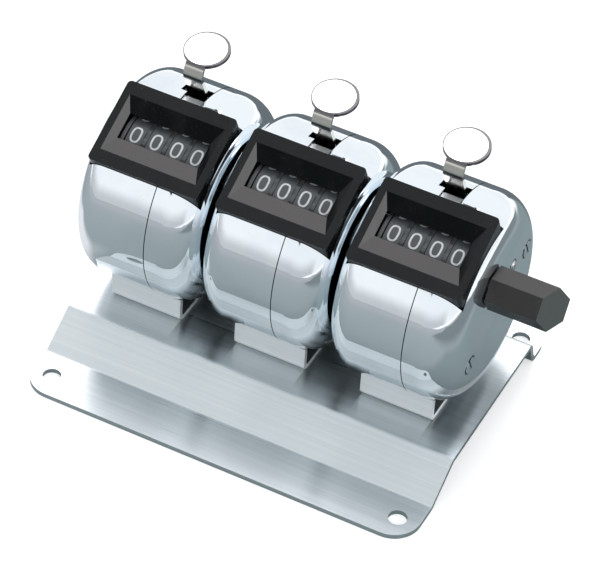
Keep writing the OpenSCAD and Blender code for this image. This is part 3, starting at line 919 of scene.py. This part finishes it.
@dataclass(frozen=True)
class PlatedFrame(Finish):
    """Plated chassis sheet, whose disc beside the wheels is painted as the wheels are."""

    tint: Colour
    stain_tint: Colour
    paint: Colour
    roughness: float
    paint_roughness: float
    paint_edge: float = 0.2 * MM

    def wire(self, sheet: FinishSheet, effects: SurfaceEffects) -> None:
        """Feeds the shader.

        Args:
            sheet: The material being made.
            effects: The shared effects.
        """
        wiring = sheet.wiring
        low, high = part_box("units_wheel_left")
        centre = (low + high) / 2
        radius = (high.z - low.z) / 2
        out = wiring.off_line(sheet.place, centre.y, centre.z)
        bare = wiring.span(out, radius, radius + self.paint_edge)
        stain, relief = sheet.stamped(effects)
        sheet.set(
            Base_Color=wiring.blend(bare, self.paint, wiring.blend(stain, self.tint, self.stain_tint)),
            Metallic=bare,
            Roughness=wiring.between(bare, self.paint_roughness, self.roughness),
            Normal=relief,
        )


@dataclass(frozen=True)
class FigurePrint(Finish):
    """Pale ink of the figures, a little thin in places."""

    ink: Colour
    thin_ink: Colour
    roughness: float
    haze_size: float = 900.0
    grain_size: float = 6000.0
    relief: float = 0.01 * MM
    grain_strength: float = 0.4

    def wire(self, sheet: FinishSheet, effects: SurfaceEffects) -> None:
        """Feeds the shader.

        Args:
            sheet: The material being made.
            effects: The shared effects.
        """
        haze = sheet.mask(effects.haze, Size=self.haze_size)
        grain = sheet.mask(effects.grain, Size=self.grain_size)
        sheet.set(
            Base_Color=sheet.wiring.blend(haze, self.ink, self.thin_ink),
            Roughness=self.roughness,
            Normal=sheet.wiring.bump(grain, self.relief, self.grain_strength),
        )


def dress(node_name: str, material: bpy.types.Material) -> None:
    """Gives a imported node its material.

    Args:
        node_name: The node.
        material: Its finish.
    """
    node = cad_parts[node_name]
    if not node.material_slots:
        node.data.materials.append(material)
    for slot in node.material_slots:
        slot.link = "OBJECT"
        slot.material = material
    log.info("dressed %s in %s", node_name, material.name)


def soften_edges(node_name: str, width: float, segments: int = 2, angle: float = 35.0) -> None:
    """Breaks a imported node's sharp edges in the render.

    Args:
        node_name: The node.
        width: Width of the broken edge, in metres.
        segments: Steps across the edge.
        angle: Smallest angle that counts as an edge, in degrees.
    """
    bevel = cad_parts[node_name].modifiers.new("Broken edges", "BEVEL")
    bevel.width = width
    bevel.segments = segments
    bevel.limit_method = "ANGLE"
    bevel.angle_limit = math.radians(angle)
    bevel.harden_normals = True


@dataclass(frozen=True)
class FigureShape:
    """The strokes of the wheels' figures, in units of half their width and height."""

    width: float = 2.45 * MM
    height: float = 3.85 * MM
    stroke: float = 0.43 * MM
    squareness: float = 2.7
    steps: int = 28

    def arc(self, centre: Range, radii: Range, start: float, stop: float) -> Outline:
        """Draws an arc.

        Args:
            centre: Its centre.
            radii: Its half width and half height.
            start: First angle in degrees, from the right and counter-clockwise.
            stop: Last angle.

        Returns:
            Points along the arc.
        """
        points = []
        for k in range(self.steps + 1):
            turn = math.radians(start + (stop - start) * k / self.steps)
            across, up = self._soft(math.cos(turn)), self._soft(math.sin(turn))
            points.append((centre[0] + radii[0] * across, centre[1] + radii[1] * up))
        return points

    def _soft(self, share: float) -> float:
        """Squares a circle's cosine or sine off towards a rounded box."""
        return math.copysign(abs(share) ** (2 / self.squareness), share)

    def strokes(self, figure: int) -> list[Outline]:
        """Draws a figure.

        Args:
            figure: The figure, from 0 to 9.

        Returns:
            One line of points for each stroke.
        """
        upper, lower = (0.0, 0.47), (0.0, -0.45)
        small, large = (0.86, 0.53), (1.0, 0.55)
        drawings = {
            0: [self.arc((0, 0), (1, 1), 90, 450)],
            1: [[(-0.45, 0.55), (0.1, 1), (0.1, -1)]],
            2: [self.arc(upper, small, 170, -35) + [(-0.95, -1), (0.95, -1)]],
            3: [self.arc(upper, small, 155, -90) + self.arc(lower, large, 90, -155)],
            4: [[(0.45, -1), (0.45, 1), (-1, -0.4), (1, -0.4)]],
            5: [[(0.85, 1), (-0.72, 1), (-0.85, 0.1)] + self.arc((0, -0.33), (1, 0.67), 130, -155)],
            6: [self.arc(lower, large, 180, 540), self.arc((0.25, -0.45), (1.25, 1.45), 180, 70)],
            7: [[(-0.95, 1), (0.95, 1), (-0.3, -1)]],
            8: [self.arc(upper, small, 90, 450), self.arc(lower, large, 90, 450)],
            9: [self.arc((0, 0.45), large, 0, 360), self.arc((-0.25, 0.45), (1.25, 1.45), 0, -110)],
        }
        return drawings[figure]

    def placed(self, figure: int) -> list[Outline]:
        """Draws a figure at its real size.

        Args:
            figure: The figure, from 0 to 9.

        Returns:
            Its strokes, in metres from its centre.
        """
        half_w = (self.width - self.stroke) / 2
        half_h = (self.height - self.stroke) / 2
        return [[(x * half_w, y * half_h) for x, y in line] for line in self.strokes(figure)]


@dataclass
class NumberWheels:
    """The four wheels of one counter and the figures printed round them."""

    side: Side
    tilt: float
    shape: FigureShape = FigureShape()
    ink_rise: float = 0.03 * MM
    ink_sink: float = 0.05 * MM
    land_width: float = 0.98 * MM
    figures: int = 10
    closed_gap: float = 1e-7
    mitre_limit: float = 0.45

    def _rim(self, node_name: str) -> tuple[Vector, float]:
        """Measures a wheel.

        Args:
            node_name: The wheel's node.

        Returns:
            The centre of its printed face and its radius.
        """
        low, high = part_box(node_name)
        centre = (low + high) / 2
        radius = (high.z - low.z) / 2
        name = node_name.removesuffix("_" + self.side.value)
        width = high.x - low.x
        if name == "units_wheel":
            other_low, other_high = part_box("tens_wheel_" + self.side.value)
            width = other_high.x - other_low.x
        centre.x = low.x + (width - self.land_width) / 2
        return centre, radius

    def _wrap(self, centre: Vector, radius: float, x: float, arc_length: float) -> Vector:
        """Lays a point of the flat figures on the wheel.

        Args:
            centre: The wheel's centre.
            radius: Distance from the wheel's axis.
            x: Place along the axis.
            arc_length: Way round the rim, up from the middle of the window.

        Returns:
            The point.
        """
        turn = self.tilt - arc_length / radius
        return Vector((centre.x + x, centre.y - radius * math.sin(turn), centre.z + radius * math.cos(turn)))

    def _stroke_mesh(self, line: Outline, centre: Vector, radius: float, middle: float,
                     points: list[Vector], faces: list[tuple[int, ...]]) -> None:
        """Adds one stroke as a thin raised ribbon with mitred bends.

        Args:
            line: The stroke's middle line.
            centre: The wheel's centre.
            radius: The rim's radius.
            middle: The figure's place round the rim.
            points: Takes the new vertices.
            faces: Takes the new faces.
        """
        closed = math.dist(line[0], line[-1]) < self.closed_gap
        count = len(line) - 1 if closed else len(line)
        first = len(points)
        half = self.shape.stroke / 2
        for k in range(count):
            ahead = Vector(line[(k + 1) % count] if closed else line[min(k + 1, count - 1)])
            behind = Vector(line[(k - 1) % count] if closed else line[max(k - 1, 0)])
            here = Vector(line[k])
            into = (here - behind).normalized() if here != behind else (ahead - here).normalized()
            out = (ahead - here).normalized() if ahead != here else into
            normal = Vector((-(into + out).y, (into + out).x)).normalized()
            reach = half / max(self.mitre_limit, normal.dot(Vector((-into.y, into.x))))
            for side in (1, -1):
                edge = here + normal * reach * side
                for level in (self.ink_rise, -self.ink_sink):
                    lifted = radius + level
                    points.append(self._wrap(centre, lifted, edge.x, (middle + edge.y) * lifted / radius))
        spans = count if closed else count - 1
        for k in range(spans):
            a, b = first + 4 * k, first + 4 * ((k + 1) % count)
            faces += [(a, a + 2, b + 2, b), (a + 1, b + 1, b + 3, a + 3), (a, b, b + 1, a + 1),
                      (a + 2, a + 3, b + 3, b + 2)]
        if not closed:
            last = first + 4 * (count - 1)
            faces += [(first, first + 1, first + 3, first + 2), (last, last + 2, last + 3, last + 1)]

    def print_figures(self, decade: Decade, ink: bpy.types.Material) -> bpy.types.Object:
        """Makes the ring of figures on one wheel.

        Args:
            decade: The wheel.
            ink: The figures' finish.

        Returns:
            The figures.
        """
        node_name = f"{decade.value}_wheel_{self.side.value}"
        centre, radius = self._rim(node_name)
        points: list[Vector] = []
        faces: list[tuple[int, ...]] = []
        for figure in range(self.figures):
            middle = -2 * math.pi * radius * figure / self.figures
            for line in self.shape.placed(figure):
                self._stroke_mesh(line, centre, radius, middle, points, faces)
        mesh = bpy.data.meshes.new(f"{decade.value}_figures_{self.side.value}")
        mesh.from_pydata(points, [], faces)
        mesh.validate()
        mesh.materials.append(ink)
        ring = bpy.data.objects.new(mesh.name, mesh)
        bpy.context.scene.collection.objects.link(ring)
        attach(ring, f"{decade.value}_{self.side.value}")
        log.info("printed %s", ring.name)
        return ring

    def build(self, wheel: bpy.types.Material, ink: bpy.types.Material) -> None:
        """Dresses the wheels and prints their figures.

        Args:
            wheel: The wheels' finish.
            ink: The figures' finish.
        """
        for decade in Decade:
            dress(f"{decade.value}_wheel_{self.side.value}", wheel)
            self.print_figures(decade, ink)


@dataclass
class Counter:
    """One counter: its case, bezel, works, wheels and lever."""

    side: Side
    tilt: float
    bezel_edge: float = 0.18 * MM
    lever_edge: float = 0.16 * MM

    def build(self, palette: "Palette") -> None:
        """Dresses the counter.

        Args:
            palette: The finishes.
        """
        side = self.side.value
        for part in ("case_shell", "side_cover"):
            dress(f"{part}_{side}", palette.case)
        dress(f"bezel_{side}", palette.bezel)
        soften_edges(f"bezel_{side}", self.bezel_edge)
        dress(f"thumb_lever_{side}", palette.lever)
        soften_edges(f"thumb_lever_{side}", self.lever_edge, angle=FOLD_ANGLE)
        dress(f"chassis_{side}", palette.chassis)
        for part in ("lever_pin", "lever_spring", "pinion_shaft"):
            dress(f"{part}_{side}", palette.works)
        for part in ("carry_pinions", "drive_pawl", "detent_comb"):
            dress(f"{part}_{side}", palette.brass)
        NumberWheels(self.side, self.tilt).build(palette.wheel, palette.ink)


@dataclass
class BaseAndSaddles:
    """The folded sheet, the three saddles and their screws."""

    saddle_edge: float = 0.12 * MM
    sheet_edge: float = 0.12 * MM

    def build(self, palette: "Palette") -> None:
        """Dresses the base.

        Args:
            palette: The finishes.
        """
        dress("base_plate", palette.base)
        soften_edges("base_plate", self.sheet_edge, angle=FOLD_ANGLE)
        for side in Side:
            dress(f"saddle_{side.value}", palette.saddle)
            soften_edges(f"saddle_{side.value}", self.saddle_edge, angle=FOLD_ANGLE)
        dress("saddle_screws", palette.turned)


@dataclass
class ResetTrain:
    """The reset knob, its shaft and the small fasteners."""

    knob_edge: float = 0.16 * MM

    def build(self, palette: "Palette") -> None:
        """Dresses the reset train and the fasteners.

        Args:
            palette: The finishes.
        """
        dress("reset_knob", palette.knob)
        soften_edges("reset_knob", self.knob_edge)
        for part in ("reset_shaft", "knob_screw", "spacer_washers"):
            dress(part, palette.turned)
        dress("cover_screws", palette.screw_head)
        dress("cover_rivets", palette.works)


class Palette:
    """The finishes of the whole part."""

    def __init__(self, effects: SurfaceEffects) -> None:
        """Builds each finish once.

        Args:
            effects: The shared effects.
        """
        self.case = CasePlate(
            "Case chrome", tint=(0.90, 0.945, 0.98), haze_tint=(0.84, 0.89, 0.93),
            roughness=0.035, haze_roughness=0.06,
        ).build(effects)
        self.screw_head = SlottedHead(
            "Slotted head", tint=(0.80, 0.84, 0.87), haze_tint=(0.74, 0.78, 0.81),
            roughness=0.12, haze_roughness=0.18,
        ).build(effects)
        self.lever = LeverPlate(
            "Lever plate", tint=(0.87, 0.86, 0.83), haze_tint=(0.82, 0.81, 0.78),
            edge_shade_tint=(0.10, 0.10, 0.11), band_shade_tint=(0.60, 0.59, 0.54),
            roughness=0.12, haze_roughness=0.2, rim_roughness=0.4,
        ).build(effects)
        self.base = DeckSheet(
            "Brushed base sheet", tint=(0.74, 0.785, 0.80), dark_tint=(0.63, 0.68, 0.695),
            roughness=0.27, rough_lines=0.34, relief=0.012 * MM,
        ).build(effects)
        self.saddle = SaddleSheet(
            "Brushed saddle sheet", tint=(0.94, 0.975, 0.985), dark_tint=(0.86, 0.90, 0.91),
            roughness=0.42, rough_lines=0.5, relief=0.01 * MM, metallic=0.4,
        ).build(effects)
        self.bezel = MouldedPlastic(
            "Bezel black", tint=from_display(12, 15, 16), bloom_tint=from_display(16, 19, 20),
            roughness=0.15, bloom_roughness=0.19, grain_size=5200.0, relief=0.004 * MM,
            ior=1.36, dustiness=0.2,
        ).build(effects)
        self.knob = KnobPlastic(
            "Knob black", tint=from_display(20, 19, 19), bloom_tint=from_display(28, 26, 25),
            end_tint=from_display(74, 80, 78), roughness=0.32, end_roughness=0.5,
            grain_size=3800.0, relief=0.03 * MM,
        ).build(effects)
        self.wheel = MouldedPlastic(
            "Wheel grey", tint=from_display(72, 76, 78), bloom_tint=from_display(79, 82, 84),
            roughness=0.5, bloom_roughness=0.6, grain_size=4200.0, relief=0.02 * MM,
        ).build(effects)
        self.ink = FigurePrint(
            "Figure ink", ink=from_display(206, 209, 211), thin_ink=from_display(190, 194, 197),
            roughness=0.55,
        ).build(effects)
        self.chassis = PlatedFrame(
            "Plated chassis", tint=(0.80, 0.82, 0.83), stain_tint=(0.70, 0.72, 0.73),
            paint=from_display(84, 86, 88), roughness=0.42, paint_roughness=0.5,
        ).build(effects)
        self.works = PlainMetal(
            "Stamped steel", tint=(0.56, 0.58, 0.59), stain_tint=(0.44, 0.45, 0.46),
            roughness=0.32, stain_roughness=0.45,
        ).build(effects)
        self.turned = PlainMetal(
            "Turned steel", tint=(0.62, 0.64, 0.65), stain_tint=(0.52, 0.53, 0.54),
            roughness=0.25, stain_roughness=0.36,
        ).build(effects)
        self.brass = PlainMetal(
            "Stamped brass", tint=(0.66, 0.52, 0.26), stain_tint=(0.50, 0.38, 0.18),
            roughness=0.3, stain_roughness=0.45,
        ).build(effects)


@dataclass(frozen=True)
class StudioPanel:
    """A softbox or a dark flag of the studio, far off, that bright surfaces show."""

    name: str
    azimuth: float
    height: float
    half_width: float
    half_height: float
    edge: float
    light: Colour

    def mask(self, wiring: Wiring, direction: Socket, lift: Socket, level: Socket) -> Socket:
        """Draws the panel.

        Args:
            wiring: The world's wiring.
            direction: The direction that is lit.
            lift: Its angle above level.
            level: Its length along the floor.

        Returns:
            1 on the panel and 0 off it, with a soft edge.
        """
        turn = math.radians(self.azimuth)
        ahead = wiring.dot(direction, X_AXIS * math.sin(turn) + Y_AXIS * math.cos(turn))
        aside = wiring.math("ARCCOSINE", wiring.math("DIVIDE", ahead, level))
        above = wiring.math("ABSOLUTE", wiring.math("SUBTRACT", lift, math.radians(self.height)))
        mask: Value = 1.0
        for angle, half in ((aside, self.half_width), (above, self.half_height)):
            limit, soft = math.radians(half), math.radians(half + self.edge)
            mask = wiring.product(mask, wiring.falling(angle, limit, soft, smooth=True))
        return mask


@dataclass(frozen=True)
class FloorCard:
    """A sheet of card on the floor beside the part, which only its bright surfaces show."""

    name: str
    low: Range
    high: Range
    tint: Colour
    edge: float = 0.02

    def mask(self, wiring: Wiring, place: Socket) -> Socket:
        """Draws the card.

        Args:
            wiring: The floor material's wiring.
            place: The place on the floor.

        Returns:
            1 on the card and 0 off it, with a soft edge.
        """
        mask: Value = 1.0
        for axis, low, high in zip((X_AXIS, Y_AXIS), self.low, self.high):
            out = wiring.dot(place, axis)
            above = wiring.span(out, low - self.edge, low, smooth=True)
            mask = wiring.product(mask, above, wiring.falling(out, high, high + self.edge, smooth=True))
        return mask


@dataclass(frozen=True)
class Studio:
    """White tent and pale floor, with the softboxes, flags and cards that the photograph's chrome shows."""

    panels: tuple[StudioPanel, ...] = (
        StudioPanel("pale ceiling", azimuth=0.0, height=90.0, half_width=180.0, half_height=26.0, edge=8.0,
                    light=(0.92, 0.95, 0.97)),
        StudioPanel("foot of the front sweep", azimuth=204.0, height=-10.0, half_width=60.0, half_height=11.0,
                    edge=16.0, light=(0.58, 0.60, 0.62)),
        StudioPanel("high flag on the right", azimuth=92.0, height=49.0, half_width=22.0, half_height=9.0,
                    edge=4.0, light=(0.04, 0.045, 0.05)),
        StudioPanel("flag over the front", azimuth=202.0, height=37.0, half_width=8.0, half_height=6.0,
                    edge=3.0, light=(0.02, 0.03, 0.03)),
        StudioPanel("right softbox", azimuth=88.0, height=27.0, half_width=12.0, half_height=7.0, edge=3.0,
                    light=(6.2, 6.0, 6.1)),
        StudioPanel("rear softbox", azimuth=-28.0, height=54.0, half_width=17.0, half_height=9.0, edge=6.0,
                    light=(4.3, 4.1, 4.2)),
    )
    tent: Colour = (0.96, 0.98, 1.0)
    least_level: float = 0.001
    cards: tuple[FloorCard, ...] = (
        FloorCard("grey sweep in front", low=(-1.2, -1.2), high=(0.3, -0.4), tint=(0.40, 0.415, 0.425),
                  edge=0.1),
        FloorCard("dark card behind", low=(-0.3, 0.09), high=(0.04, 0.4), tint=(0.13, 0.15, 0.16)),
        FloorCard("white card on the left", low=(-0.1, -0.02), high=(-0.065, 0.05), tint=(0.8, 0.8, 0.8)),
        FloorCard("grey card beside the knob", low=(0.052, -0.03), high=(0.085, 0.2),
                  tint=(0.234, 0.281, 0.286)),
        FloorCard("dark card on the right", low=(0.14, -0.2), high=(0.30, 0.3), tint=(0.19, 0.22, 0.225),
                  edge=0.05),
    )
    table_near: Colour = (0.30, 0.347, 0.351)
    table_far: Colour = (0.39, 0.405, 0.415)
    table_reach: Range = (0.06, 0.4)
    backdrop: Colour = (1.0, 1.0, 1.0)
    backdrop_centre: tuple[float, float, float] = (-0.05, -0.25, 0.0)
    backdrop_reach: Range = (0.45, 0.55)
    floor_seen: Colour = (0.62, 0.62, 0.62)
    floor_half: float = 1.2
    floor_gap: float = 0.02 * MM
    floor_roughness: float = 0.9
    floor_glow: Colour = (0.55, 0.55, 0.55)

    def build_world(self) -> None:
        """Makes the light tent: plain white to the camera, with its softboxes and flags to the part."""
        world = bpy.data.worlds.new("Light tent")
        world.use_nodes = True
        bpy.context.scene.world = world
        wiring = Wiring(world.node_tree)
        background = world.node_tree.nodes["Background"]
        direction = wiring.add("TexCoord").outputs["Generated"]
        lift = wiring.math("ARCSINE", wiring.dot(direction, Z_AXIS))
        level = wiring.math("MAXIMUM", wiring.math("COSINE", lift), self.least_level)
        colour: object = self.tent
        for panel in self.panels:
            colour = wiring.blend(panel.mask(wiring, direction, lift, level), colour, panel.light)
            log.info("hung the %s", panel.name)
        seen = wiring.add("LightPath").outputs["Is Camera Ray"]
        wiring.feed(background.inputs["Color"], wiring.blend(seen, colour, (1.0, 1.0, 1.0)))

    @staticmethod
    def distance(wiring: Wiring, place: Socket, centre: Sequence[float]) -> Socket:
        """Measures how far a place is from a centre.

        Args:
            wiring: The material's wiring.
            place: The place.
            centre: The centre.

        Returns:
            The distance.
        """
        node = wiring.add("VectorMath", operation="DISTANCE")
        wiring.feed(node.inputs[0], place)
        wiring.feed(node.inputs[1], centre)
        return node.outputs["Value"]

    def floor_finish(self) -> bpy.types.Material:
        """Makes the floor's material, white to the camera and a grey table with cards to bright surfaces.

        Returns:
            The material.
        """
        sheet = FinishSheet("Pale floor")
        wiring = sheet.wiring
        reach = self.distance(wiring, sheet.place, (0.0, 0.0, 0.0))
        table = wiring.blend(wiring.span(reach, *self.table_reach), self.table_near, self.table_far)
        beyond = self.distance(wiring, sheet.place, self.backdrop_centre)
        far_off = wiring.span(beyond, *self.backdrop_reach, smooth=True)
        colour: object = wiring.blend(far_off, table, self.backdrop)
        for card in self.cards:
            colour = wiring.blend(card.mask(wiring, sheet.place), colour, card.tint)
            log.info("laid the %s", card.name)
        seen = wiring.add("LightPath").outputs["Is Camera Ray"]
        sheet.set(
            Base_Color=wiring.blend(seen, colour, self.floor_seen),
            Roughness=self.floor_roughness,
            Specular_IOR_Level=0.0,
            Emission_Color=wiring.blend(seen, (0.0, 0.0, 0.0), self.floor_glow),
            Emission_Strength=1.0,
        )
        return sheet.material

    def build_floor(self) -> None:
        """Lays the floor just under the part."""
        half = self.floor_half
        mesh = bpy.data.meshes.new("Floor")
        corners = [(-half, -half, 0.0), (half, -half, 0.0), (half, half, 0.0), (-half, half, 0.0)]
        mesh.from_pydata(corners, [], [(0, 1, 2, 3)])
        mesh.materials.append(self.floor_finish())
        floor = bpy.data.objects.new("Floor", mesh)
        floor.location.z = cad_bounds[0].z - self.floor_gap
        bpy.context.scene.collection.objects.link(floor)
        log.info("laid the floor")

    def build(self) -> None:
        """Makes the world and the floor."""
        self.build_world()
        self.build_floor()


@dataclass(frozen=True)
class PhotoCamera:
    """The camera at the photograph's place."""

    azimuth: float = 24.403
    elevation: float = 42.738
    roll: float = 4.211
    focal_px: float = 3211.13
    sensor: float = 36.0
    clip: Range = (0.01, 10.0)
    place: tuple[float, float, float] = (0.21377, -0.46825, 0.49922)

    def build(self) -> bpy.types.Object:
        """Makes the camera.

        Returns:
            The camera.
        """
        turn, lift, lean = (math.radians(a) for a in (self.azimuth, self.elevation, self.roll))
        back = Vector((math.sin(turn) * math.cos(lift), -math.cos(turn) * math.cos(lift), math.sin(lift)))
        right = (-back).cross(Z_AXIS).normalized()
        up = right.cross(-back)
        across = right * math.cos(lean) + up * math.sin(lean)
        upward = up * math.cos(lean) - right * math.sin(lean)
        data = bpy.data.cameras.new("Photo camera")
        data.sensor_fit = "HORIZONTAL"
        data.sensor_width = self.sensor
        data.lens = self.focal_px * self.sensor / PHOTO_WIDTH
        data.clip_start, data.clip_end = self.clip
        camera = bpy.data.objects.new("Photo camera", data)
        turned = Matrix((across, upward, back)).transposed().to_4x4()
        camera.matrix_world = Matrix.Translation(self.place) @ turned
        bpy.context.scene.collection.objects.link(camera)
        bpy.context.scene.camera = camera
        log.info("placed the camera")
        return camera


def window_tilt() -> float:
    """Works out the window's lean from level from the first bezel's corners.

    Returns:
        The lean, in radians.
    """
    points = [v.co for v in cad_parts["bezel_left"].data.vertices]
    front = min(points, key=lambda p: (round(p.y, 6), -p.z))
    face = [p for p in points if p.z > front.z]
    rear = max(face, key=lambda p: p.z)
    return math.atan2(rear.z - front.z, rear.y - front.y)


def main() -> None:
    """Dresses the part, prints its figures and sets the studio and the camera."""
    logging.basicConfig(level=logging.INFO, format="%(name)s: %(message)s")
    bpy.context.scene.view_settings.view_transform = "Standard"
    PhotoCamera().build()
    Studio().build()
    palette = Palette(SurfaceEffects())
    tilt = window_tilt()
    log.info("the windows lean by %.2f degrees", math.degrees(tilt))
    BaseAndSaddles().build(palette)
    ResetTrain().build(palette)
    for side in Side:
        Counter(side, tilt).build(palette)


if __name__ == "__main__":
    main()
